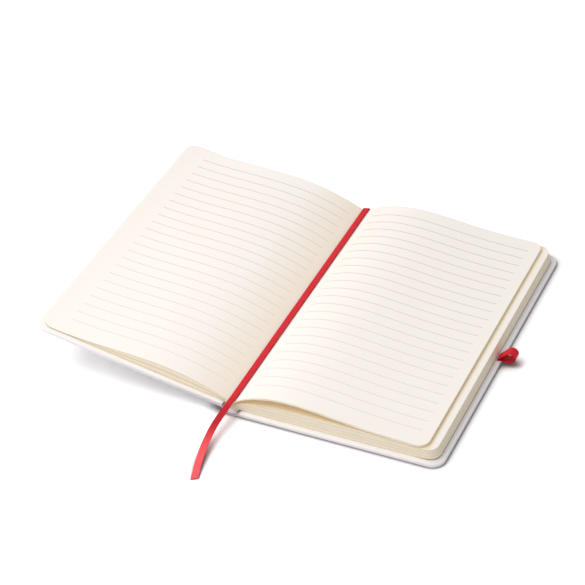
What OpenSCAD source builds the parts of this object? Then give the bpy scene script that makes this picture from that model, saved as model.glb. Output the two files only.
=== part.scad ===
// Hard-cover notebook, lying open on its back cover with the front cover tilted up.
// +X runs from the spine to the right-hand fore-edge, +Y from tail to head, +Z up.
// The origin is the centre of the back cover's outer face. Shapes are drawn in the back
// cover's own frame, with X = 0 at its spine edge, and moved there by place().

/* [Cover] */
// Width of one cover, spine edge to fore-edge
cover_w = 130; // [100:1:180]
// Height of the cover, tail to head
cover_h = 210; // [150:1:260]
// Thickness of the board inside each cover
board_t = 2; // [1.5:0.1:3]
// Thickness of the white covering sheet
wrap_t = 0.3; // [0.2:0.05:0.5]
// Width of the covering's turn-in on the inner face
turn_in = 15; // [8:1:22]
// Thickness of the endpaper glued inside each cover
paste_t = 0.15; // [0.1:0.05:0.3]
// Radius of the cover's fore-edge corners
cover_r = 8; // [3:0.5:14]
// Radius of the pages' fore-edge corners
page_r = 7; // [2:0.5:12]
// Overhang of the cover past the pages at head, tail and fore-edge
overhang = 3; // [1:0.5:5]
// Tilt of the front cover above the table, in degrees
front_tilt = 11.2; // [8:0.1:14]

/* [Spine] */
// Outer radius of the rounded spine
spine_r = 8.5; // [8:0.1:9.5]
// Height of the rounded spine above the table at its lowest line
spine_lift = 0.2; // [0.1:0.1:0.6]
// Distance from the back cover's spine edge to the middle of the spine's curve
spine_x = 3.3; // [3:0.1:3.6]
// Angles of the spine's curve on the front and back side, from straight down
spine_front = 53; // [48:1:54]
spine_back = 15; // [10:1:16]
// Thickness of the card inside the spine
card_t = 0.8; // [0.4:0.1:1.2]
// Distance that the card stops short of the covering's edges, in degrees
card_inset = 8; // [4:1:14]
// Thickness of the gauze glued over the section folds
gauze_t = 0.25; // [0.15:0.05:0.4]
// Distance that the gauze stops short of the covering's turn-ins
gauze_inset = 1; // [0.5:0.5:5]
// Running gap between the covers and the pages
page_gap = 0.3; // [0.3:0.05:0.6]
// Gap between pieces glued on one curve
glue_gap = 0.05; // [0.02:0.01:0.1]

/* [Pages] */
// Sewn sections that lie on the back cover
block_sections = 6; // [4:1:8]
// Sewn sections that lie on the front cover
left_sections = 2; // [1:1:3]
// Height of the lying pages at their crest and at the fore-edge
block_crest = 9.3; // [9:0.1:12]
block_edge = 7.1; // [5:0.1:9]
// Distance of the crests from the spine edge: the lying pages', the lifted section's and the left pages'
crest_x = [47, 33, 37];
// Thickness of the lifted section
lifted_t = 1.4; // [1:0.1:2]
// Height of the lifted section's crest over the table, at tail and head
lifted_crest = [19.3, 19.3];
// Height of the lifted section's fore-edge over the table, at tail and head
lifted_edge = [12.4, 12.2];
// Distance that the lifted section's fore-edge draws back from the lying pages
lifted_back = 7.5; // [5:0.5:10]
// Distance that the top lying leaf's fore-edge draws back from the bottom one's
block_draw = 1.5; // [0.5:0.1:3]
// Height of the left pages' crest over the front cover, at tail and head
left_crest = [10.9, 11.3];
// Height of the left pages' fore-edge over the front cover, at tail and head
left_edge = [4.1, 4.5];
// Unevenness of the cut edges at head and tail, from the lying pages to the opened ones
page_step = 0.1; // [0.05:0.05:0.3]
// Width and depth of the fine lines between the sections on the cut edges
line_w = 0.16; // [0.1:0.02:0.3]
line_d = 0.35; // [0.2:0.05:0.6]

/* [Ribbons] */
// Width of the marker ribbon
marker_w = 4.5; // [3:0.5:6]
// Width of the pen loop's ribbon
loop_w = 6; // [4:0.5:8]
// Thickness of both ribbons
ribbon_t = 0.35; // [0.25:0.05:0.5]
// Outer radius of the pen loop's round end
loop_r = 3.6; // [3.5:0.1:4.5]
// Distance of the pen loop's round end past the cover's fore-edge
loop_reach = 9.5; // [9:0.5:14]
// Place of the pen loop along the cover, from mid-height
loop_y = -3; // [-40:1:40]
// Length over which the pen loop's ends rise out of their slot
ramp_l = 1.4; // [1:0.1:2]
// Distance that the pen loop's glued tab stops short of the turn-in's inner edge
tab_gap = 1; // [0.5:0.5:5]

/* [Hidden] */
$fn = 64;
cover_t = board_t + 2 * wrap_t;
endpaper_top = cover_t + paste_t;
pages_z = endpaper_top + page_gap;
page_w = cover_w - overhang;
page_h = cover_h - 2 * overhang;
spine_z = spine_lift + spine_r;
fold_r = spine_r - wrap_t - card_t - gauze_t - 5 * glue_gap;
steps = 7;
// Length that a shape reaches past the plane that trims it
spare = 2;

// Gutter between the left and the right pages, and the crotch under the lifted section
gutter = [-spine_x - 1.6, spine_z - 0.9];
left_gutter = gutter - [0.3, 0.1];
crotch = [gutter[0] + 3.4, gutter[1] - 1.3];
// Spine edge of the front cover's outer face, on the spine's own curve
front_edge_x = -spine_x - spine_r * 0.866;
front_edge_z = spine_z - spine_r * 0.507;

module place() { translate([-cover_w / 2, 0, 0]) children(); }
// The front cover's frame: X runs from its spine edge to its fore-edge, Z out of its inner face
module on_front() {
    translate([front_edge_x, 0, front_edge_z]) rotate([0, front_tilt, 0]) mirror([1, 0, 0]) children();
}
function to_front(p) =
    let (dx = front_edge_x - p[0], dz = p[1] - front_edge_z)
    [dx * cos(front_tilt) + dz * sin(front_tilt), dz * cos(front_tilt) - dx * sin(front_tilt)];

// Curves of the leaves, seen from the tail: each rises from the gutter to a crest and falls to the fore-edge
function bezier(a, b, c, d, s) =
    pow(1 - s, 3) * a + 3 * pow(1 - s, 2) * s * b + 3 * (1 - s) * s * s * c + pow(s, 3) * d;
function leaf_line(start, rise, crest, edge, pull, fall) =
    let (steep = start + rise[1] * [cos(rise[0]), sin(rise[0])],
         before = crest - [pull[0], 0], after = crest + [pull[1], 0],
         last = edge + fall[1] * [-cos(fall[0]), sin(fall[0])])
    concat([for (i = [0 : steps]) bezier(start, steep, before, crest, i / steps)],
           [for (i = [1 : steps]) bezier(crest, after, last, edge, i / steps)],
           [edge + spare * [cos(fall[0]), -sin(fall[0])]]);
function unit(v) = v / norm(v);
function slope(line, i) = unit(line[min(i + 1, len(line) - 1)] - line[max(i - 1, 0)]);
// Share of a thickness that is left where the leaves are nipped at the spine
function pinch(i, full, nip = 0.4) = min(1, nip + (1 - nip) * i / full);
// The same line moved down by a thickness
function under(line, t) =
    [for (i = [0 : len(line) - 1]) let (d = slope(line, i)) line[i] + t * pinch(i, 4) * [d[1], -d[0]]];
function back_to_front(line, first = 0) = [for (i = [len(line) - 1 : -1 : first]) line[i]];
function between(a, b, share) = [for (i = [0 : len(a) - 1]) a[i] + share * (b[i] - a[i])];

function lifted_top(end) = leaf_line(gutter, [36, 12.4], [crest_x[1], lifted_crest[end]],
    [page_w - lifted_back, lifted_edge[end]], [16, 22], [0.5, 48]);
function left_top(end) = leaf_line(to_front(left_gutter), [16, 10], [crest_x[2], left_crest[end]],
    [page_w, left_edge[end]], [17, 30], [-5, 28]);
block_top = leaf_line(crotch, [45, 7], [crest_x[0], pages_z + block_crest],
    [page_w - block_draw, pages_z + block_edge], [13, 37], [2, 33]);
block_bottom = [for (p = block_top) [p[0], pages_z]];
block_lean = atan2(block_draw, block_edge);
// Underside of the left pages, which lie on the front endpaper
function left_bottom(end) =
    let (top = left_top(end))
    [for (i = [0 : len(top) - 1]) top[i] - [0, pinch(i, 2) * (top[i][1] - pages_z)]];
function spine_point(r, angle) = [-spine_x + r * sin(angle), spine_z - r * cos(angle)];
// One rounded fold for each section along the inside of the spine, from the back side to the front side
function section_folds(n = block_sections + left_sections + 1, first = spine_back + 2, last = -spine_front) =
    [for (i = [0 : n - 1]) for (j = [0 : 3])
        spine_point(fold_r - (j == 0 ? 0.4 : j == 2 ? 0 : 0.1), first + (last - first) * (i + j / 4) / n)];

// A solid between one outline at the tail and one of as many points at the head
module loft(tail, head, length = page_h + spare) {
    n = len(tail);
    y = length / 2;
    polyhedron(
        points = concat([for (p = tail) [p[0], -y, p[1]]], [for (p = head) [p[0], y, p[1]]]),
        faces = concat(
            [[for (i = [0 : n - 1]) i]],
            [[for (i = [n - 1 : -1 : 0]) n + i]],
            [for (i = [0 : n - 1]) let (k = (i + 1) % n) [i, n + i, k]],
            [for (i = [0 : n - 1]) let (k = (i + 1) % n) [k, n + i, n + k]]));
}
// Plan of a leaf or a cover: square at the spine, round at the fore-edge corners
module plan(w, h, r, start = 0) {
    translate([start, -h / 2]) square([w - r - start, h]);
    translate([start, r - h / 2]) square([w - start, h - 2 * r]);
    for (side = [-1, 1]) translate([w - r, side * (h / 2 - r)]) circle(r);
}
// Room of the leaves' plan, as a prism that leans back with the fore-edge
module leaf_prism(w, lean, inset) {
    translate([w, 0, pages_z]) rotate([0, -lean, 0]) translate([-w, 0, 0])
        linear_extrude(page_w, center = true)
            plan(w - inset, page_h - 2 * inset, page_r - inset, -3 * spine_r);
}
module cut_to_plan(w, lean = 0, inset = 0) {
    intersection() {
        children();
        leaf_prism(w, lean, inset);
    }
}
// Fine line round the three cut edges, where two sections meet
module section_line(w, tail, head, lean = 0) {
    lower_tail = [for (p = tail) p - [0, line_w]];
    lower_head = [for (p = head) p - [0, line_w]];
    difference() {
        loft(concat(tail, back_to_front(lower_tail)),
             concat(head, back_to_front(lower_head)), page_h + 2 * spare);
        leaf_prism(w, lean, line_d);
    }
}

module lying_pages() {
    outline = concat([gutter - [0, 2 * page_gap]], block_top,
                     [[page_w + spare, pages_z], [-1.3 * page_gap, pages_z]],
                     section_folds(), [gutter - [2, 1.2]]);
    difference() {
        cut_to_plan(page_w, block_lean) loft(outline, outline);
        for (i = [1 : block_sections - 1]) {
            line = between(block_bottom, block_top, i / block_sections);
            section_line(page_w, line, line, block_lean);
        }
    }
}
module lifted_section() {
    function outline(end) = concat(lifted_top(end), back_to_front(under(lifted_top(end), lifted_t), 1),
                                   [crotch - [0.6, 0.6], gutter - [0.6, 0.7]]);
    cut_to_plan(page_w - lifted_back, 0, page_step) loft(outline(0), outline(1));
}
// The left pages bend up from their folds, past the front cover's spine edge, and over onto the cover
module left_pages() {
    function outline(end) = concat(left_top(end), back_to_front(left_bottom(end), 2),
                                   [[page_gap, pages_z + 2 * page_gap],
                                    to_front(spine_point(fold_r - page_gap, -spine_front + 1)),
                                    to_front(gutter + [1, -3])]);
    difference() {
        cut_to_plan(page_w, 0, 2 * page_step) loft(outline(0), outline(1));
        for (i = [1 : left_sections - 1])
            section_line(page_w, between(left_bottom(0), left_top(0), i / left_sections),
                         between(left_bottom(1), left_top(1), i / left_sections));
    }
}
module page_block() {
    color("ivory") place() {
        lying_pages();
        lifted_section();
        on_front() left_pages();
    }
}

// Band that follows the spine's curve
module spine_band(r, t, inset, length) {
    function arc(radius) = [for (i = [0 : 12])
        spine_point(radius, spine_back - inset - (spine_back + spine_front - 2 * inset) * i / 12)];
    rotate([90, 0, 0]) linear_extrude(length, center = true)
        polygon(concat(arc(r), back_to_front(arc(r - t))));
}
module spine_wrap() {
    inner = spine_r - wrap_t - card_t - 2 * glue_gap;
    color("white") place() {
        spine_band(spine_r, wrap_t, 0, cover_h);
        for (side = [-1, 1]) {
            translate([0, side * (cover_h - wrap_t) / 2, 0])
                spine_band(spine_r, spine_r - inner + wrap_t, card_inset / 2, wrap_t);
            translate([0, side * (cover_h - turn_in) / 2, 0])
                spine_band(inner, wrap_t, card_inset / 2, turn_in);
        }
    }
}
module spine_card() {
    color("tan") place()
        spine_band(spine_r - wrap_t - glue_gap, card_t, card_inset, cover_h - 2 * wrap_t - 2 * glue_gap);
}
module spine_gauze() {
    color("linen") place()
        spine_band(fold_r + gauze_t + glue_gap, gauze_t, card_inset, cover_h - 2 * turn_in - 2 * gauze_inset);
}

// Cover pieces, drawn for the back cover; the front cover's are their mirror images
module slab(w, h, r, t, z = 0, start = 0) { translate([0, 0, z]) linear_extrude(t) plan(w, h, r, start); }
module board() { slab(cover_w - wrap_t, cover_h - 2 * wrap_t, cover_r - wrap_t, board_t, wrap_t, wrap_t); }
module wrap() {
    difference() {
        slab(cover_w, cover_h, cover_r, cover_t);
        board();
        slab(cover_w - turn_in, cover_h - 2 * turn_in, cover_r, 2 * wrap_t, cover_t - wrap_t, -1);
    }
}
module endpaper() {
    slab(page_w, page_h, page_r, paste_t, cover_t, page_gap);
    slab(cover_w - turn_in, cover_h - 2 * turn_in, cover_r, wrap_t, cover_t - wrap_t, page_gap);
}

// The pen loop's two ends lie in a slot under the endpaper, and its round eye stands past the fore-edge
loop_z = cover_t - 2 * ribbon_t;
tab_x = cover_w - turn_in + tab_gap;
slot_gap = 0.2;
ramp_end = page_w + ramp_l;
module loop_slot() {
    translate([tab_x - slot_gap, loop_y - loop_w / 2 - slot_gap, loop_z])
        cube([ramp_end - tab_x + slot_gap, loop_w + 2 * slot_gap, 3 * ribbon_t]);
}
module eye(r, root) {
    centre = [cover_w + loop_reach - loop_r, cover_t + loop_r + page_gap];
    d = norm(centre - root);
    lean = atan2(centre[1] - root[1], centre[0] - root[0]);
    open = asin(r / d);
    reach = sqrt(d * d - r * r);
    translate(centre) circle(r);
    polygon([root, root + reach * [cos(lean - open), sin(lean - open)],
             centre, root + reach * [cos(lean + open), sin(lean + open)]]);
}
module pen_loop() {
    root = [ramp_end - 0.2, cover_t + 0.2];
    color("crimson") place() translate([0, loop_y, 0]) rotate([90, 0, 0])
        linear_extrude(loop_w, center = true) {
            translate([tab_x, loop_z]) square([page_w - tab_x, 2 * ribbon_t]);
            polygon([[page_w, loop_z], [ramp_end, root[1]], [ramp_end, root[1] + 2 * ribbon_t],
                     [page_w, cover_t]]);
            difference() {
                eye(loop_r, root);
                eye(loop_r - ribbon_t, root + [1.2, 0.55]);
            }
        }
}
module back_board() { color("tan") place() difference() { board(); loop_slot(); } }
module back_wrap() { color("white") place() difference() { wrap(); loop_slot(); } }
module back_endpaper() { color("ivory") place() endpaper(); }
module front_board() { color("tan") place() on_front() board(); }
module front_wrap() { color("white") place() on_front() wrap(); }
module front_endpaper() { color("ivory") place() on_front() endpaper(); }

// Marker ribbon: centre points and roll, from the spine's head, down the gutter and out at the tail.
// x and z start from the gutter and y from the pages' head or tail; the free end's z starts from the table
ribbon_head = [[1.7, 0.5, -3.6, -10], [1.5, 0.5, -2.6, -6], [1.2, 0.5, -1.4, 0], [0.8, 0.5, -0.1, 5],
               [0.4, 0.5, 1.1, 9], [0.1, 0.3, 1.8, 10], [-0.1, -0.4, 2.05, 10], [-0.1, -3, 2.05, 10]];
ribbon_tail = [[-0.1, -6, 2.05, 10], [-0.2, 0.2, 2, 8], [-0.4, 5.2, 1.6, 5], [-0.9, 11.4, 0.7, 2],
               [-1.4, 20.9, -0.6, 0]];
ribbon_end = [[-1.1, 30, 5.6, 0], [-0.2, 39, 3.9, 0], [1.4, 48.3, 2.2, 0],
              [3, 54.5, 1.1, 0], [4.5, 59.8, 0.5, 0]];
ribbon_route = concat(
    [for (p = ribbon_head) [gutter[0] + p[0], page_h / 2 + p[1], gutter[1] + p[2], p[3]]],
    [for (p = ribbon_tail) [gutter[0] + p[0], -page_h / 2 - p[1], gutter[1] + p[2], p[3]]],
    [for (p = ribbon_end) [gutter[0] + p[0], -page_h / 2 - p[1], p[2], p[3]]]);
module ribbon() {
    n = len(ribbon_route);
    function centre(i) = [ribbon_route[i][0], ribbon_route[i][1], ribbon_route[i][2]];
    function ring(i) =
        let (along = unit(centre(min(i + 1, n - 1)) - centre(max(i - 1, 0))), roll = ribbon_route[i][3],
             flat = [cos(roll), 0, sin(roll)], side = unit(flat - (flat * along) * along),
             up = cross(along, side))
        [for (k = [[-1, -1], [1, -1], [1, 1], [-1, 1]])
            centre(i) + k[0] * marker_w / 2 * side + k[1] * ribbon_t / 2 * up];
    color("crimson") place() polyhedron(
        points = [for (i = [0 : n - 1]) each ring(i)],
        faces = concat([[0, 1, 2, 3]], [[for (k = [3 : -1 : 0]) 4 * (n - 1) + k]],
            [for (i = [0 : n - 2]) for (k = [0 : 3]) let (a = 4 * i + k, b = 4 * i + (k + 1) % 4)
                each [[a, a + 4, b], [b, a + 4, b + 4]]]));
}

page_block();
spine_gauze();
spine_card();
spine_wrap();
back_board();
back_wrap();
back_endpaper();
pen_loop();
front_board();
front_wrap();
front_endpaper();
ribbon();
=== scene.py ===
import random
from math import asin, atan2, cos, pi, radians, sin

import bpy
from mathutils import Matrix, Vector


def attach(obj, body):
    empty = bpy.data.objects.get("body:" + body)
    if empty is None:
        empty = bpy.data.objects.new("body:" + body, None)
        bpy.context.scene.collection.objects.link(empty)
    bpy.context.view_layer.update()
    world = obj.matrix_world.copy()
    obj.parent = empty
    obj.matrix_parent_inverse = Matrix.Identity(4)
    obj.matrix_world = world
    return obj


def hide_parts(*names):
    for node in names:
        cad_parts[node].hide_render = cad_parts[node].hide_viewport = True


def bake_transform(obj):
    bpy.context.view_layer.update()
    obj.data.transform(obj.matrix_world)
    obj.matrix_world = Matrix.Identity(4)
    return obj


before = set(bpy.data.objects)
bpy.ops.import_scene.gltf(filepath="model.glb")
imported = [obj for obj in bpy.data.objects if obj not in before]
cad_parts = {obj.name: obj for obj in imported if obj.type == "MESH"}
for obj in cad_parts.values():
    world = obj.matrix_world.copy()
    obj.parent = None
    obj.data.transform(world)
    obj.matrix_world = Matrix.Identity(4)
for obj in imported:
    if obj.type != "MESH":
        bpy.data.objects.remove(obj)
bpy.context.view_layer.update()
mm = 0.001
random.seed(7)
print("frame loaded:", len(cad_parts), "nodes")

# Shapes are drawn in millimetres with x from the back cover's spine edge, y from mid-height, z from the table
cover = dict(width=130, height=210, thick=2.6, radius=8, round=0.6, spineGap=0.35, tilt=radians(11.2))
page = dict(width=127, height=204, radius=7, bottom=3.05, lean=1.5, lifted=120)
spine = dict(x=-3.3, z=8.7, radius=8.5, front=radians(-53), back=radians(15), foldRadius=6.9,
             foldFrom=radians(17))
frontEdge = Vector((spine["x"] - spine["radius"] * 0.866, spine["z"] - spine["radius"] * 0.507))


def toRow(x, y, z):
    return Vector((x - cover["width"] / 2, y, z)) * mm


def fromFront(p):  # a point of the front cover's own frame, as (x, z)
    t = cover["tilt"]
    return Vector((frontEdge.x - p[0] * cos(t) + p[1] * sin(t), frontEdge.y + p[0] * sin(t) + p[1] * cos(t)))


def toFront(p):
    t = cover["tilt"]
    dx, dz = frontEdge.x - p[0], p[1] - frontEdge.y
    return Vector((dx * cos(t) + dz * sin(t), dz * cos(t) - dx * sin(t)))


def onBack(p, y):
    return toRow(p.x, y, p.y)


def onFront(p, y):
    flat = fromFront(p)
    return toRow(flat.x, y, flat.y)


def spinePoint(r, angle):
    return Vector((spine["x"] + r * sin(angle), spine["z"] - r * cos(angle)))


# Camera, floor and light

camera = dict(place=(373.45, -840.05, 773.74), azimuth=28.2, elevation=38.59, roll=5.18, focal=1920.53,
              image=585)


def addCamera():
    data = bpy.data.cameras.new("camera")
    data.sensor_width = 36
    data.lens = camera["focal"] / camera["image"] * data.sensor_width
    data.clip_start = 0.01
    data.clip_end = 20
    obj = bpy.data.objects.new("camera", data)
    bpy.context.collection.objects.link(obj)
    a, e, r = (radians(camera[k]) for k in ("azimuth", "elevation", "roll"))
    back = Vector((sin(a) * cos(e), -cos(a) * cos(e), sin(e)))
    right = (-back).cross(Vector((0, 0, 1))).normalized()
    down = (-back).cross(right)
    across = cos(r) * right + sin(r) * down
    up = sin(r) * right - cos(r) * down
    turn = Matrix((across, up, back)).transposed()
    obj.matrix_world = Matrix.Translation(Vector(camera["place"]) * mm) @ turn.to_4x4()
    bpy.context.scene.camera = obj


lamps = [
    dict(name="softbox", place=(-0.41, -0.27, 0.85), size=0.65, power=4.5),
    dict(name="tailFill", place=(-0.2, -1.3, 0.5), size=0.9, power=2.6),
    dict(name="headFill", place=(-0.6, 0.9, 0.9), size=1.2, power=2.9),
]


def addLamp(name, place, size, power):
    data = bpy.data.lights.new(name, "AREA")
    data.shape = "SQUARE"
    data.size = size
    data.energy = power
    obj = bpy.data.objects.new(name, data)
    bpy.context.collection.objects.link(obj)
    obj.location = place
    obj.rotation_euler = (-Vector(place)).to_track_quat("-Z", "Y").to_euler()


# Shader helpers

class Signal:
    # One socket of a material, so that shader maths reads as a plain expression
    def __init__(self, look, socket):
        self.look = look
        self.socket = socket

    def __add__(self, other):
        return self.look.math("ADD", self, other)

    def __sub__(self, other):
        return self.look.math("SUBTRACT", self, other)

    def __rsub__(self, other):
        return self.look.math("SUBTRACT", other, self)

    def __mul__(self, other):
        return self.look.math("MULTIPLY", self, other)

    def __truediv__(self, other):
        return self.look.math("DIVIDE", self, other)

    def __abs__(self):
        return self.look.math("ABSOLUTE", self)

    __radd__ = __add__
    __rmul__ = __mul__


class Look:
    def __init__(self, name, **fixed):
        self.material = bpy.data.materials.new(name)
        self.material.use_nodes = True
        self.tree = self.material.node_tree
        self.shader = self.tree.nodes["Principled BSDF"]
        for socket, value in fixed.items():
            self.shader.inputs[socket.replace("_", " ")].default_value = value

    def add(self, kind, settings=None, sockets=None, out=0):
        node = self.tree.nodes.new("ShaderNode" + kind)
        for key, value in (settings or {}).items():
            setattr(node, key, value)
        for key, value in (sockets or {}).items():
            self.plug(node.inputs[key], value)
        return Signal(self, node.outputs[out])

    def plug(self, socket, value):
        if isinstance(value, Signal):
            self.tree.links.new(value.socket, socket)
        else:
            socket.default_value = value

    def math(self, operation, a, b=0.0):
        return self.add("Math", {"operation": operation}, {0: a, 1: b})

    def ramp(self, value, low, high):  # 0 below low, 1 above high
        return self.add("MapRange", {"interpolation_type": "SMOOTHSTEP"}, {0: value, 1: low, 2: high})

    def noise(self, where, scale, detail=2.0, roughness=0.5):
        sockets = {"Vector": where, "Scale": scale, "Detail": detail, "Roughness": roughness}
        return self.add("TexNoise", None, sockets)

    def mix(self, factor, a, b):
        return self.add("Mix", {"data_type": "RGBA"}, {0: factor, 6: a, 7: b}, out=2)

    def axes(self, vector):
        split = self.tree.nodes.new("ShaderNodeSeparateXYZ")
        self.plug(split.inputs[0], vector)
        return [Signal(self, output) for output in split.outputs]

    def bump(self, height, strength, distance):
        normal = self.add("Bump", None, {"Height": height, "Strength": strength, "Distance": distance})
        self.plug(self.shader.inputs["Normal"], normal)

    def feed(self, **inputs):
        for socket, value in inputs.items():
            self.plug(self.shader.inputs[socket.replace("_", " ")], value)


def tone(red, green, blue):  # a colour as a screen shows it, 0 to 255
    def linear(c):
        c /= 255
        return c / 12.92 if c <= 0.04045 else ((c + 0.055) / 1.055) ** 2.4
    return (linear(red), linear(green), linear(blue), 1)


# Paper: ivory leaves with fine ruled lines; each page's mesh says where it is on the leaf

paper = dict(face=(251, 245, 238), edge=(253, 242, 222), gapShade=(204, 176, 124), rule=(150, 142, 136),
             hollowShade=(242, 226, 196), paintedGlow=(246, 226, 196), cloud=(244, 235, 222), footShadow=(150, 132, 112),
             ruleWidth=0.4, first=-89.2, step=8.21, count=23, ruleFrom=4.0, ruleTo=113.0,
             leftOf=-0.0705, glowFrom=-0.108, glowTo=-0.074, rightOf=-0.066, leavesApart=2.37,
             footFrom=112, footTo=122, footBelow=0.0031, footAbove=0.0041)


def paperLook():
    look = Look("paper", Roughness=0.85, Specular_IOR_Level=0.25, Emission_Strength=1.0)
    place = look.add("Attribute", {"attribute_name": "leaf"}, out=1)
    along, across, edge = look.axes(place)
    row = look.add("TexCoord", out=3)
    fibres = look.noise(row, 900.0, 4.0, 0.6)
    cloud = look.noise(row, 60.0, 2.0)
    x, _, z = look.axes(row)
    # Ruled lines
    turns = (across - paper["first"]) / paper["step"]
    off = abs(look.math("SUBTRACT", turns, look.math("ROUND", turns))) * paper["step"]
    line = 1 - look.ramp(off, paper["ruleWidth"] * 0.35, paper["ruleWidth"] * 0.65)
    inside = look.math("GREATER_THAN", turns, -0.5) * look.math("LESS_THAN", turns, paper["count"] - 0.5)
    reach = look.math("GREATER_THAN", along, paper["ruleFrom"])
    reach = reach * look.math("LESS_THAN", along, paper["ruleTo"])
    onFace = look.math("LESS_THAN", abs(edge), 0.5)
    ink = 0.4 + look.ramp(across, paper["first"], -paper["first"]) * 0.34
    face = look.mix(line * inside * reach * onFace * ink, tone(*paper["face"]), tone(*paper["rule"]))
    face = look.mix((cloud - 0.5) * 0.25 + 0.1, face, tone(*paper["cloud"]))
    # Painted shade in a warm tone on faces that the lifted section hides, with a faint painted glow from
    # emission
    hidden = look.math("LESS_THAN", edge, -0.5)
    hidden = hidden * (1 - look.ramp(along, page["lifted"] + 0.4, page["lifted"] + 3))
    face = look.mix(hidden, face, tone(*paper["hollowShade"]))
    look.feed(Emission_Color=look.mix(hidden, (0, 0, 0, 1), (0.06, 0.05, 0.034, 1)))
    # Painted warm light on the left pages down in the gutter
    leftSide = look.math("LESS_THAN", x, paper["leftOf"])
    paintedGlow = look.ramp(x, paper["glowFrom"], paper["glowTo"]) * leftSide
    face = look.mix(paintedGlow * 0.38, face, tone(*paper["paintedGlow"]))
    # Cut edges, where the third number counts the leaves, with painted shade in the gaps between leaves and
    # between sections
    leafTurns = look.math("FRACT", edge)
    gapShade = look.ramp(abs(leafTurns - 0.5), 0.3, 0.5) * 0.2
    leaves = sections["leaves"]
    sectionGapShade = look.ramp(abs(edge - 1 - leaves / 2), leaves * 0.36, leaves * 0.5)
    turnsUp = look.math("FRACT", (z - page["bottom"] * mm) / (paper["leavesApart"] * mm))
    fine = look.ramp(abs(turnsUp - 0.5), 0.36, 0.5) * look.math("GREATER_THAN", x, paper["rightOf"]) * 0.5
    lines = look.math("MAXIMUM", look.math("MAXIMUM", gapShade, sectionGapShade * 0.4), fine)
    cut = look.mix(lines, tone(*paper["edge"]), tone(*paper["gapShade"]))
    # Painted shade over the left pages' cut edges
    cut = look.mix(leftSide * (0.15 + sectionGapShade * 0.5), cut, tone(*paper["gapShade"]))
    # Painted shadow low on the fore-edge, where the pages meet the back cover
    low = look.ramp(along, paper["footFrom"], paper["footTo"])
    low = low * (1 - look.ramp(z, paper["footBelow"], paper["footAbove"]))
    cut = look.mix(low, cut, tone(*paper["footShadow"]))
    look.feed(Base_Color=look.mix(look.math("GREATER_THAN", edge, 0.5), face, cut))
    look.bump(fibres, 0.12, 0.0003)
    return look.material


endpaper = dict(pale=(252, 247, 240), deep=(245, 238, 228), thick=0.15, inset=1.2)


def plainPaperLook():
    look = Look("endpaper", Roughness=0.88, Specular_IOR_Level=0.2)
    row = look.add("TexCoord", out=3)
    fibres = look.noise(row, 900.0, 4.0, 0.6)
    look.feed(Base_Color=look.mix(fibres * 0.5, tone(*endpaper["pale"]), tone(*endpaper["deep"])))
    look.bump(fibres, 0.12, 0.0003)
    return look.material


skin = dict(pale=(249, 245, 247), deep=(242, 236, 240), cells=1500.0)


def coverLook():
    look = Look("covering", Roughness=0.55, Specular_IOR_Level=0.4)
    row = look.add("TexCoord", out=3)
    cells = look.add("TexVoronoi", {"feature": "DISTANCE_TO_EDGE"}, {"Vector": row, "Scale": skin["cells"]})
    grain = look.noise(row, 2600.0, 3.0, 0.6)
    soil = look.noise(row, 40.0, 3.0)
    colour = look.mix(soil * 0.5, tone(*skin["pale"]), tone(*skin["deep"]))
    look.feed(Base_Color=colour, Roughness=0.5 + grain * 0.15)
    look.bump(look.ramp(cells, 0.0, 0.35) + grain * 0.5, 0.35, 0.0002)
    return look.material


board = dict(deep=(150, 140, 122), pale=(186, 176, 156))


def boardLook():
    look = Look("greyBoard", Roughness=0.9, Specular_IOR_Level=0.15)
    row = look.add("TexCoord", out=3)
    chips = look.noise(row, 500.0, 5.0, 0.7)
    look.feed(Base_Color=look.mix(chips, tone(*board["deep"]), tone(*board["pale"])))
    look.bump(chips, 0.3, 0.0003)
    return look.material


cloth = dict(gap=(190, 184, 168), thread=(236, 231, 218), pitch=5200.0)


def gauzeLook():
    look = Look("gauze", Roughness=0.9, Specular_IOR_Level=0.15)
    x, y, z = look.axes(look.add("TexCoord", out=3))
    along, across = y * cloth["pitch"], (x + z) * cloth["pitch"]
    threads = abs(look.math("SINE", along)) + abs(look.math("SINE", across))
    look.feed(Base_Color=look.mix(look.ramp(threads, 0.5, 1.6), tone(*cloth["gap"]), tone(*cloth["thread"])))
    look.bump(threads, 0.4, 0.0003)
    return look.material


satin = dict(light=(224, 22, 40), deep=(182, 8, 32), end=(255, 92, 100), inside=(196, 14, 32), rib=0.28)


def satinLook():
    # The mesh's "leaf" numbers run across the ribbon, along it, and from 0 elsewhere to 1 on the pen loop's
    # inner face, which gets painted shade
    look = Look("satinRibbon", Roughness=0.42, Specular_IOR_Level=0.2)
    across, along, edge = look.axes(look.add("Attribute", {"attribute_name": "leaf"}, out=1))
    ribs = look.math("SINE", along * (2 * pi / satin["rib"]))
    threads = look.math("SINE", across * (2 * pi / 0.04))
    row = look.add("TexCoord", out=3)
    slubs = look.noise(row, 700.0, 3.0)
    selvedge = look.ramp(abs(across), 0.84, 0.94)
    shade = ribs * 0.12 + threads * 0.06 + slubs * 0.5 + selvedge * 0.35
    colour = look.mix(shade, tone(*satin["light"]), tone(*satin["deep"]))
    # Painted highlight makes the marker's free end paler, and painted shade makes the turn over the tail
    # deeper
    colour = look.mix(look.ramp(along, 228.0, 258.0), colour, tone(*satin["end"]))
    turn = look.ramp(along, 205.0, 225.0) * (1 - look.ramp(along, 228.0, 244.0))
    colour = look.mix(turn * 0.7, colour, tone(*satin["deep"]))
    # Painted shade on the pen loop's inner face
    look.feed(Base_Color=look.mix(edge, colour, tone(*satin["inside"])))
    look.feed(Roughness=0.36 + slubs * 0.16 + selvedge * 0.15)
    look.bump(ribs * 0.6 + threads * 0.3 + slubs, 0.3, 0.0001)
    return look.material


def grey(level):
    return (level, level, level, 1)


table = dict(reach=0.007, seen=(1.24, 1.24, 1.245, 1), seenContactShadow=(0.3, 0.28, 0.285, 1), lit=0.88, litContactShadow=0.4)


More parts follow.
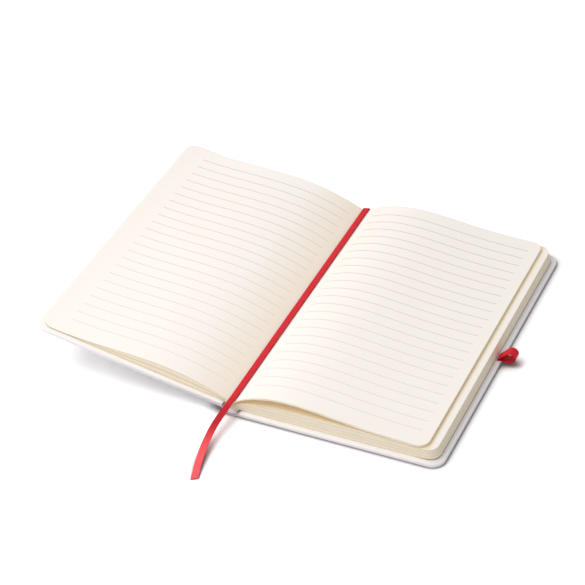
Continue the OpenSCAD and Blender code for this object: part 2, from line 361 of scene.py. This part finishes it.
def floorLook():
    # White to the camera, paler than paper, with a painted contact shadow close to what stands on it, also in
    # the light it throws back
    look = Look("floor", Roughness=1.0, Specular_IOR_Level=0.0)
    rays = look.add("LightPath", out=0)
    openness = look.add("AmbientOcclusion", {"samples": 8}, {"Distance": table["reach"]}, out=1)
    away = look.ramp(openness, 0.5, 1.0)
    seen = look.mix(away, table["seenContactShadow"], table["seen"])
    lit = look.mix(away, grey(table["litContactShadow"]), grey(table["lit"]))
    look.feed(Base_Color=look.mix(rays, lit, seen))
    return look.material


# Mesh helpers

def addMesh(name, corners, faces, material, leaf=None, smooth=True):
    mesh = bpy.data.meshes.new(name)
    mesh.from_pydata(corners, [], faces)
    mesh.validate()
    mesh.update()
    if leaf is not None:
        values = mesh.attributes.new("leaf", "FLOAT_VECTOR", "POINT")
        values.data.foreach_set("vector", [number for triple in leaf for number in triple])
    mesh.materials.append(material)
    for face in mesh.polygons:
        face.use_smooth = smooth
    obj = bpy.data.objects.new(name, mesh)
    bpy.context.collection.objects.link(obj)
    return obj


def bezier(a, b, c, d, s):
    return (1 - s) ** 3 * a + 3 * (1 - s) ** 2 * s * b + 3 * (1 - s) * s * s * c + s ** 3 * d


def leafLine(start, rise, crest, edge, pull, fall, steps=24):
    # A leaf's line from the gutter to its crest and down to its fore-edge, a little past it
    start, crest, edge = Vector(start), Vector(crest), Vector(edge)
    turn, slope = radians(rise[0]), radians(fall[0])
    steep = start + rise[1] * Vector((cos(turn), sin(turn)))
    before, after = crest - Vector((pull[0], 0)), crest + Vector((pull[1], 0))
    last = edge + fall[1] * Vector((-cos(slope), sin(slope)))
    line = [bezier(start, steep, before, crest, i / steps) for i in range(steps)]
    line += [bezier(crest, after, last, edge, i / steps) for i in range(steps + 1)]
    return line + [edge + 2 * Vector((cos(slope), -sin(slope)))]


def under(line, thick, nip=0.4, full=14):
    # The same line moved down by the leaves' thickness, thinner where they are nipped at the spine
    lower = []
    for i, p in enumerate(line):
        along = (line[min(i + 1, len(line) - 1)] - line[max(i - 1, 0)]).normalized()
        here = thick * min(1, nip + (1 - nip) * i / full)
        lower.append(p + here * Vector((along.y, -along.x)))
    return lower


def between(a, b, share):
    return [p.lerp(q, share) for p, q in zip(a, b)]


def cutLine(line, limit, count):
    # The line up to where its first number reaches limit, as count points, closer together near the gutter
    kept = [line[0]]
    for p, q in zip(line, line[1:]):
        if q.x >= limit:
            kept.append(p.lerp(q, (limit - p.x) / (q.x - p.x)))
            break
        kept.append(q)
    lengths = [0.0]
    for p, q in zip(kept, kept[1:]):
        lengths.append(lengths[-1] + (q - p).length)
    points = []
    k = 0
    for i in range(count):
        want = lengths[-1] * (i / (count - 1)) ** 1.35
        while k < len(lengths) - 2 and lengths[k + 1] < want:
            k += 1
        span = lengths[k + 1] - lengths[k] or 1
        points.append(kept[k].lerp(kept[k + 1], min(1, (want - lengths[k]) / span)))
    return points


# Pages: sewn sections, each with its fold on the rounded spine and its leaves fanned out to one side

gutter = Vector((-4.9, 7.8))
leftGutter = gutter - Vector((0.3, 0.1))
crotch = gutter + Vector((3.4, -1.3))
sections = dict(right=6, left=2, leaves=16, layers=8, columns=48, liftedThick=1.4, gap=0.03)
sectionCount = sections["right"] + 1 + sections["left"]


def foldAngle(k):
    return spine["foldFrom"] + (spine["front"] - spine["foldFrom"]) * k / sectionCount


def fromFold(k, line, join, pull):
    # Leads a line of leaves back down to its fold on the spine
    fold = spinePoint(spine["foldRadius"], foldAngle(k))
    centre = Vector((spine["x"], spine["z"]))
    inward = (centre - fold).normalized()
    end = line[join]
    along = (line[join + 1] - line[join]).normalized()
    reach = (end - fold).length * pull
    lead = [bezier(fold, fold + inward * reach, end - along * reach, end, i / 8) for i in range(8)]
    return lead + line[join:]


def ends(make):  # the same line at the tail and at the head
    return [make(0), make(1)]


# Heights of the leaves' crests and fore-edges, at the tail and at the head
heights = dict(lifted=(19.3, 19.3), liftedEdge=(12.4, 12.2), left=(10.9, 11.3), leftEdge=(4.1, 4.5),
               block=9.3, blockEdge=7.1)
liftedTop = ends(lambda end: leafLine(
    gutter, rise=(36, 12.4), crest=(33, heights["lifted"][end]),
    edge=(page["lifted"], heights["liftedEdge"][end]), pull=(16, 22), fall=(0.5, 48)))
leftTop = ends(lambda end: leafLine(
    toFront(leftGutter), rise=(16, 10), crest=(37, heights["left"][end]),
    edge=(page["width"], heights["leftEdge"][end]), pull=(17, 30), fall=(-5, 28)))
blockTop = leafLine(
    crotch, rise=(45, 7), crest=(47, page["bottom"] + heights["block"]),
    edge=(page["width"] - page["lean"], page["bottom"] + heights["blockEdge"]), pull=(13, 37), fall=(2, 33))
blockBottom = [Vector((p.x, page["bottom"])) for p in blockTop]


def thickSheet(name, lower, upper, width, lean, place, material, hidden=()):
    # Leaves between two lines, each given at the tail and at the head, with rounded fore-edge corners
    half, r = page["height"] / 2, page["radius"]
    rows = []
    for i in range(11):
        turn = pi / 2 * i / 10
        rows.append((-half + r - r * cos(turn), r - r * sin(turn), Vector((sin(turn), -cos(turn)))))
    rows += [(-half + r + (2 * half - 2 * r) * i / 12, 0, Vector((1, 0))) for i in range(1, 12)]
    rows += [(-y, cut, Vector((n.x, -n.y))) for y, cut, n in reversed(rows[:11])]
    corners, leaf, faces = [], [], []
    grids = []
    for side, (tail, head) in enumerate((lower, upper)):
        grid = []
        for y, cut, _ in rows:
            share = (y + half) / (2 * half)
            line = between(tail, head, share)
            grid.append([(p, y) for p in cutLine(line, width - lean[side] - cut, sections["columns"])])
        grids.append(grid)

    def put(p, y, kind):
        corners.append(place(p, y))
        leaf.append((p.x, y, kind))
        return len(corners) - 1

    columns = sections["columns"]
    for side, grid in enumerate(grids):
        # Faces given -1 receive the painted hollow shade
        index = [[put(p, y, -1 if side in hidden else 0) for p, y in row] for row in grid]
        for j in range(len(rows) - 1):
            for i in range(columns - 1):
                quad = (index[j][i], index[j][i + 1], index[j + 1][i + 1], index[j + 1][i])
                faces.append(quad if side else quad[::-1])
    rim = [(0, i, Vector((0, -1))) for i in range(columns - 1)]
    rim += [(j, columns - 1, rows[j][2]) for j in range(len(rows))]
    rim += [(len(rows) - 1, i, Vector((0, 1))) for i in range(columns - 2, -1, -1)]
    steps = 2 * sections["layers"]
    jut = [random.uniform(-0.03, 0.05) for _ in range(sections["layers"])]
    rings = []
    for m in range(steps + 1):
        share = m / steps
        out = 0 if m in (0, steps) else jut[m // 2] if m % 2 else -0.04
        ring = []
        for j, i, normal in rim:
            (low, y), (high, _) = grids[0][j][i], grids[1][j][i]
            p = low.lerp(high, share) + Vector((normal.x * out, 0))
            ring.append(put(p, y + normal.y * out, 1 + share * sections["leaves"]))
        rings.append(ring)
    for m in range(steps):
        for k in range(len(rim) - 1):
            faces.append((rings[m][k], rings[m][k + 1], rings[m + 1][k + 1], rings[m + 1][k]))
    fold = [(put(*grids[0][j][0], 1), put(*grids[1][j][0], 1)) for j in range(len(rows))]
    for (a, b), (c, d) in zip(fold, fold[1:]):
        faces.append((a, b, d, c))
    return addMesh(name, corners, faces, material, leaf)


def addPages(material):
    pieces = []
    lines = []
    for k in range(sections["right"] + 1):
        share = k / sections["right"]
        line = between(blockBottom, blockTop, share)
        lines.append(fromFold(k, line, join=6, pull=0.35))
    for k in range(sections["right"]):
        lean = [page["lean"] * (k + side) / sections["right"] for side in (0, 1)]
        gap = Vector((0, sections["gap"]))
        lower = [p + gap for p in lines[k]]
        upper = [p - gap for p in lines[k + 1]]
        pieces.append(thickSheet(f"lyingSection{k + 1}", (lower, lower), (upper, upper), page["width"], lean,
                                 onBack, material, hidden=(1,)))
    k = sections["right"]
    upper = [fromFold(k + 1, line, join=0, pull=0.3) for line in liftedTop]
    lower = [fromFold(k, under(line, sections["liftedThick"]), join=6, pull=0.35) for line in liftedTop]
    pieces.append(thickSheet("liftedSection", lower, upper, page["lifted"], (0, 0), onBack, material,
                             hidden=(0,)))
    for n in range(sections["left"]):
        bounds = []
        for side in (1, 0):
            share = (n + side) / sections["left"]
            bounds.append([leftLine(line, share, k + 1 + n + side) for line in leftTop])
        lower, upper = bounds
        pieces.append(thickSheet(f"leftSection{n + 1}", lower, upper, page["width"], (0, 0), onFront,
                                 material))
    for piece in pieces:
        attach(piece, "block")
        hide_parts("page_block")
    print("pages:", len(pieces), "sections")


def leftLine(line, share, k):
    # A line of the left pages, part of the way down to the cover, led back to its fold on the spine
    fold = toFront(spinePoint(spine["foldRadius"], foldAngle(k)))
    low = []
    for i, p in enumerate(line):
        low.append(p - Vector((0, share * min(1, 0.4 + 0.6 * i / 7) * (p.y - page["bottom"]))))
    join = 6 if share else 0
    end = low[join]
    passing = Vector((0.6, 3.7)).lerp(toFront(leftGutter), 1 - share)
    along = (low[join + 1] - low[join]).normalized()
    if share:
        lead = [bezier(fold, passing, end - along * 3, end, i / 8) for i in range(8)]
    else:
        lead = [bezier(fold, fold.lerp(end, 0.4), end - along * 1.2, end, i / 8) for i in range(8)]
    return lead + low[join:]


# Covers: board wrapped in a grained white sheet, with rounded edges

def outline(inset, w, h, r, steps=10):
    # Plan of a cover, square at the spine and round at the fore-edge corners
    start = inset + cover["spineGap"]
    points = [(start, -h / 2 + inset)]
    for centreY, first in ((-h / 2 + r, -pi / 2), (h / 2 - r, 0)):
        for i in range(steps + 1):
            turn = first + pi / 2 * i / steps
            points.append((w - r + (r - inset) * cos(turn), centreY + (r - inset) * sin(turn)))
    points.append((start, h / 2 - inset))
    return points


def addCover(name, body, node, place, mirrored, material):
    w, h, t, r, soft = (cover[k] for k in ("width", "height", "thick", "radius", "round"))
    profile = [(soft - soft * sin(a), soft - soft * cos(a)) for a in [pi / 2 * i / 5 for i in range(6)]]
    profile += [(d, t - z) for d, z in reversed(profile)]
    corners, faces, rings = [], [], []
    for inset, z in profile:
        ring = []
        for x, y in outline(inset, w, h, r):
            ring.append(len(corners))
            corners.append(place(Vector((x, z)), y))
        rings.append(ring)
    n = len(rings[0])
    for low, high in zip(rings, rings[1:]):
        for k in range(n):
            faces.append((low[k], low[(k + 1) % n], high[(k + 1) % n], high[k]))
    faces += [tuple(reversed(rings[0])), tuple(rings[-1])]
    if mirrored:
        faces = [tuple(reversed(f)) for f in faces]
    obj = addMesh(name, corners, faces, material)
    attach(obj, body)
    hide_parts(node)
    return obj


def addEndpaper(name, body, node, place, mirrored, reach, material):
    # Glued over the cover's turn-ins, close to its edges
    top = cover["thick"] + endpaper["thick"]
    ring = outline(endpaper["inset"], cover["width"] - reach, cover["height"], cover["radius"])
    corners = [place(Vector((x, z)), y) for z in (cover["thick"] - 0.1, top) for x, y in ring]
    n = len(ring)
    faces = [(k, (k + 1) % n, n + (k + 1) % n, n + k) for k in range(n)]
    faces += [tuple(reversed(range(n))), tuple(range(n, 2 * n))]
    if mirrored:
        faces = [tuple(reversed(f)) for f in faces]
    obj = addMesh(name, corners, faces, material, smooth=False)
    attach(obj, body)
    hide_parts(node)


def addBand(name, path, thick, y0, y1, material, rows=24):
    # A thin sheet that follows a line of (x, z) points, from y0 to y1
    sides = []
    for i, p in enumerate(path):
        along = (path[min(i + 1, len(path) - 1)] - path[max(i - 1, 0)]).normalized()
        out = Vector((along.y, -along.x)) * thick / 2
        sides.append((p + out, p - out))
    ring = [a for a, _ in sides] + [b for _, b in reversed(sides)]
    corners, faces = [], []
    for j in range(rows + 1):
        y = y0 + (y1 - y0) * j / rows
        corners += [toRow(p.x, y, p.y) for p in ring]
    n = len(ring)
    for j in range(rows):
        for k in range(n):
            a, b = j * n + k, j * n + (k + 1) % n
            faces.append((a, a + n, b + n, b))
    faces += [tuple(range(n)), tuple(reversed(range(rows * n, (rows + 1) * n)))]
    return addMesh(name, corners, faces, material)


sheet = dict(thick=0.3, radius=spine["radius"] - 0.15)
tuck = dict(radius=7.15, start=radians(11), finish=radians(-49), deep=15, back=0.1)
hinge = dict(onCover=1.2, up=0.16, pull=0.7, under=radians(2), thick=0.26, short=0.3)


def addSpine(material):
    def arc(r, a, b, n):
        return [spinePoint(r, a + (b - a) * i / n) for i in range(n + 1)]

    half = cover["height"] / 2
    wrap = addBand("spineWrap", arc(sheet["radius"], spine["back"], spine["front"], 28), sheet["thick"],
                   -half, half, material)
    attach(wrap, "block")
    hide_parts("spine_wrap")
    for side in (-1, 1):
        path = arc(tuck["radius"], tuck["start"], tuck["finish"], 24)
        turnIn = addBand(f"spineTurnIn{side + 2}", path, sheet["thick"], side * (half - tuck["deep"]),
                         side * (half - tuck["back"]), material, 4)
        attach(turnIn, "block")
    inner, outer = Vector((hinge["onCover"], hinge["up"])), Vector((0, hinge["up"]))
    hinges = (
        ("backHinge", "back_cover", spine["back"], inner, outer - inner, 1),
        ("frontHinge", "front_cover", spine["front"], fromFront(inner),
         fromFront(outer) - fromFront(inner), -1),
    )
    for name, body, angle, end, lead, turn in hinges:
        start = spinePoint(sheet["radius"], angle - turn * hinge["under"])
        along = Vector((cos(angle), sin(angle))) * turn
        pull = hinge["pull"]
        path = [bezier(start, start + along * pull, end + lead * pull, end, i / 8) for i in range(9)]
        strip = addBand(name, path, hinge["thick"], hinge["short"] - half, half - hinge["short"], material)
        first, last = toRow(start.x, 0, start.y), toRow(end.x, 0, end.y)
        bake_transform(strip)
    print("spine: covering, turn-ins and hinge strips")


# Ribbons

ribbon = dict(marker=4.5, loop=7, thick=0.35, loopY=-2.5, loopRadius=3.6, loopReach=9.5, tab=11, slant=0.3)
ribbonRoute = [
    (-3.2, 102.5, 4.2, -10), (-3.4, 102.5, 5.2, -6), (-3.7, 102.5, 6.4, 0), (-4.1, 102.5, 7.7, 5),
    (-4.5, 102.5, 8.9, 9), (-4.8, 102.3, 9.6, 10), (-5, 101.6, 9.85, 10), (-5, 99, 9.85, 10),
    (-5, 60, 9.85, 10), (-5, 20, 9.85, 10), (-5, -20, 9.85, 10), (-5, -60, 9.85, 10),
    (-5, -96, 9.85, 10), (-5.1, -102.2, 9.8, 8), (-5.3, -107.2, 9.4, 5), (-5.8, -113.4, 8.5, 2),
    (-6.3, -122.9, 7.2, 0), (-6, -132, 5.6, 0), (-5.1, -141, 3.9, 0), (-3.5, -150.3, 2.2, 0),
    (-1.9, -156.5, 1.1, 0), (-0.4, -161.8, 0.5, 0)]


def flatBand(name, rings, width, material, inner=0):
    # rings: centre, side and up of each cross-section, and its distance along the ribbon, in millimetres
    across = [-1, -0.93, -0.75, -0.5, -0.25, 0, 0.25, 0.5, 0.75, 0.93, 1]
    half, t = width / 2, ribbon["thick"] / 2
    section = [(s * half, t * (0.55 if abs(s) == 1 else 1.0)) for s in across]
    section = section + [(x, -z) for x, z in reversed(section)]
    corners, leaf, faces = [], [], []
    for centre, side, up, along in rings:
        for x, z in section:
            p = centre + side * x + up * z
            corners.append(toRow(p.x, p.y, p.z))
            # The third number marks the inner face for its painted shade
            leaf.append((x / half, along, inner if z > 0 else 0))
    n = len(section)
    for j in range(len(rings) - 1):
        for k in range(n):
            a, b = j * n + k, j * n + (k + 1) % n
            faces.append((a, b, b + n, a + n))
    faces += [tuple(reversed(range(n))), tuple(range(len(corners) - n, len(corners)))]
    return addMesh(name, corners, faces, material, leaf)


def catmull(points, steps):
    route = []
    for i in range(len(points) - 1):
        p0, p1, p2, p3 = (points[max(0, min(len(points) - 1, i + k))] for k in (-1, 0, 1, 2))
        for s in range(steps):
            t = s / steps
            route.append(0.5 * (2 * p1 + (p2 - p0) * t + (2 * p0 - 5 * p1 + 4 * p2 - p3) * t * t
                                + (3 * p1 - p0 - 3 * p2 + p3) * t ** 3))
    return route + [points[-1]]


def addMarker(material):
    route = catmull([Vector(p) for p in ribbonRoute], 8)
    rings, path, along = [], [], 0
    for i, p in enumerate(route):
        centre = p.xyz
        ahead = (route[min(i + 1, len(route) - 1)].xyz - route[max(i - 1, 0)].xyz).normalized()
        roll = radians(p.w)
        flat = Vector((cos(roll), 0, sin(roll)))
        side = (flat - flat.dot(ahead) * ahead).normalized()
        if i:
            along += (centre - route[i - 1].xyz).length
        rings.append((centre, side, ahead.cross(side) * -1, along))
        path.append(toRow(*centre))
    centre, side, up, along = rings[-1]
    back = (rings[-2][0] - centre).normalized()
    rings[-1] = (centre, side + ribbon["slant"] * back, up, along)
    obj = flatBand("markerRibbon", rings, ribbon["marker"], material)
    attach(obj, "block")
    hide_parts("ribbon")
    along * mm
    print("marker ribbon:", round(along, 1), "mm long")


def addPenLoop(material):
    # Both ends of a short ribbon go under the endpaper; the fold stands up as a round eye
    centre = Vector((cover["width"] + ribbon["loopReach"] - ribbon["loopRadius"],
                     cover["thick"] + ribbon["loopRadius"] + 0.3))
    r = ribbon["loopRadius"] - ribbon["thick"] / 2
    root = Vector((page["width"] + 1.2, cover["thick"] + 0.55))
    away = centre - root
    lean, spread = atan2(away.y, away.x), asin(r / away.length)
    start, finish = lean - spread - pi / 2, lean + spread + pi / 2
    turns = [start + (finish - start) * i / 36 for i in range(37)]
    arc = [centre + r * Vector((cos(turn), sin(turn))) for turn in turns]
    tab = page["width"] - ribbon["tab"]
    lower = [Vector((tab, 2.1)), Vector((page["width"], 2.12)), root - Vector((0, 0.18))]
    upper = [root + Vector((0, 0.2)), Vector((page["width"], 2.47)), Vector((tab, 2.45))]
    line = catmull([*lower, root.lerp(arc[0], 0.5) - Vector((0, 0.05))], 6)
    line += arc + catmull([root.lerp(arc[-1], 0.5) + Vector((0, 0.1)), *upper], 6)
    rings, along = [], 0
    for i, p in enumerate(line):
        ahead = (line[min(i + 1, len(line) - 1)] - line[max(i - 1, 0)]).normalized()
        if i:
            along += (p - line[i - 1]).length
        up = Vector((-ahead.y, 0, ahead.x))
        rings.append((Vector((p.x, ribbon["loopY"], p.y)), Vector((0, 1, 0)), up, along))
    obj = flatBand("penLoop", rings, ribbon["loop"], material, inner=1)
    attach(obj, "back_cover")
    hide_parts("pen_loop")
    print("pen loop: eye and tabs")


# Scene

def addFloor():
    size = 3.0
    corners = [(-size, -size, 0), (size, -size, 0), (size, size, 0), (-size, size, 0)]
    obj = addMesh("floor", corners, [(0, 1, 2, 3)], floorLook(), smooth=False)


def addWorld():
    world = bpy.data.worlds.new("studio")
    world.use_nodes = True
    tree = world.node_tree
    light = tree.nodes["Background"]
    light.inputs["Color"].default_value = (1, 1, 1, 1)
    light.inputs["Strength"].default_value = 0.5
    seen = tree.nodes.new("ShaderNodeBackground")
    seen.inputs["Strength"].default_value = 1
    seen.inputs["Color"].default_value = (1, 1, 1, 1)
    rays = tree.nodes.new("ShaderNodeLightPath")
    mix = tree.nodes.new("ShaderNodeMixShader")
    tree.links.new(rays.outputs["Is Camera Ray"], mix.inputs[0])
    tree.links.new(light.outputs[0], mix.inputs[1])
    tree.links.new(seen.outputs[0], mix.inputs[2])
    tree.links.new(mix.outputs[0], tree.nodes["World Output"].inputs[0])
    bpy.context.scene.world = world


def paintNode(name, material):
    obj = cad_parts[name]
    obj.data.materials.clear()
    obj.data.materials.append(material)


bpy.context.scene.view_settings.view_transform = "Standard"
addCamera()
addWorld()
addFloor()
for lamp in lamps:
    addLamp(**lamp)
print("stage: camera, floor and", len(lamps), "lamps")

covering, boards, satinRed = coverLook(), boardLook(), satinLook()
plainPaper, ruledPaper, gauze = plainPaperLook(), paperLook(), gauzeLook()
addMarker(satinRed)
addPenLoop(satinRed)
addPages(ruledPaper)
addCover("backCover", "back_cover", "back_wrap", onBack, False, covering)
addCover("frontCover", "front_cover", "front_wrap", onFront, True, covering)
addEndpaper("backEndpaper", "back_cover", "back_endpaper", onBack, False, 1.4, plainPaper)
addEndpaper("frontEndpaper", "front_cover", "front_endpaper", onFront, True, 0, plainPaper)
addSpine(covering)
for node, look in (("back_board", boards), ("front_board", boards), ("spine_card", boards),
                   ("spine_gauze", gauze)):
    paintNode(node, look)
print("finishes given to the frame's own nodes")
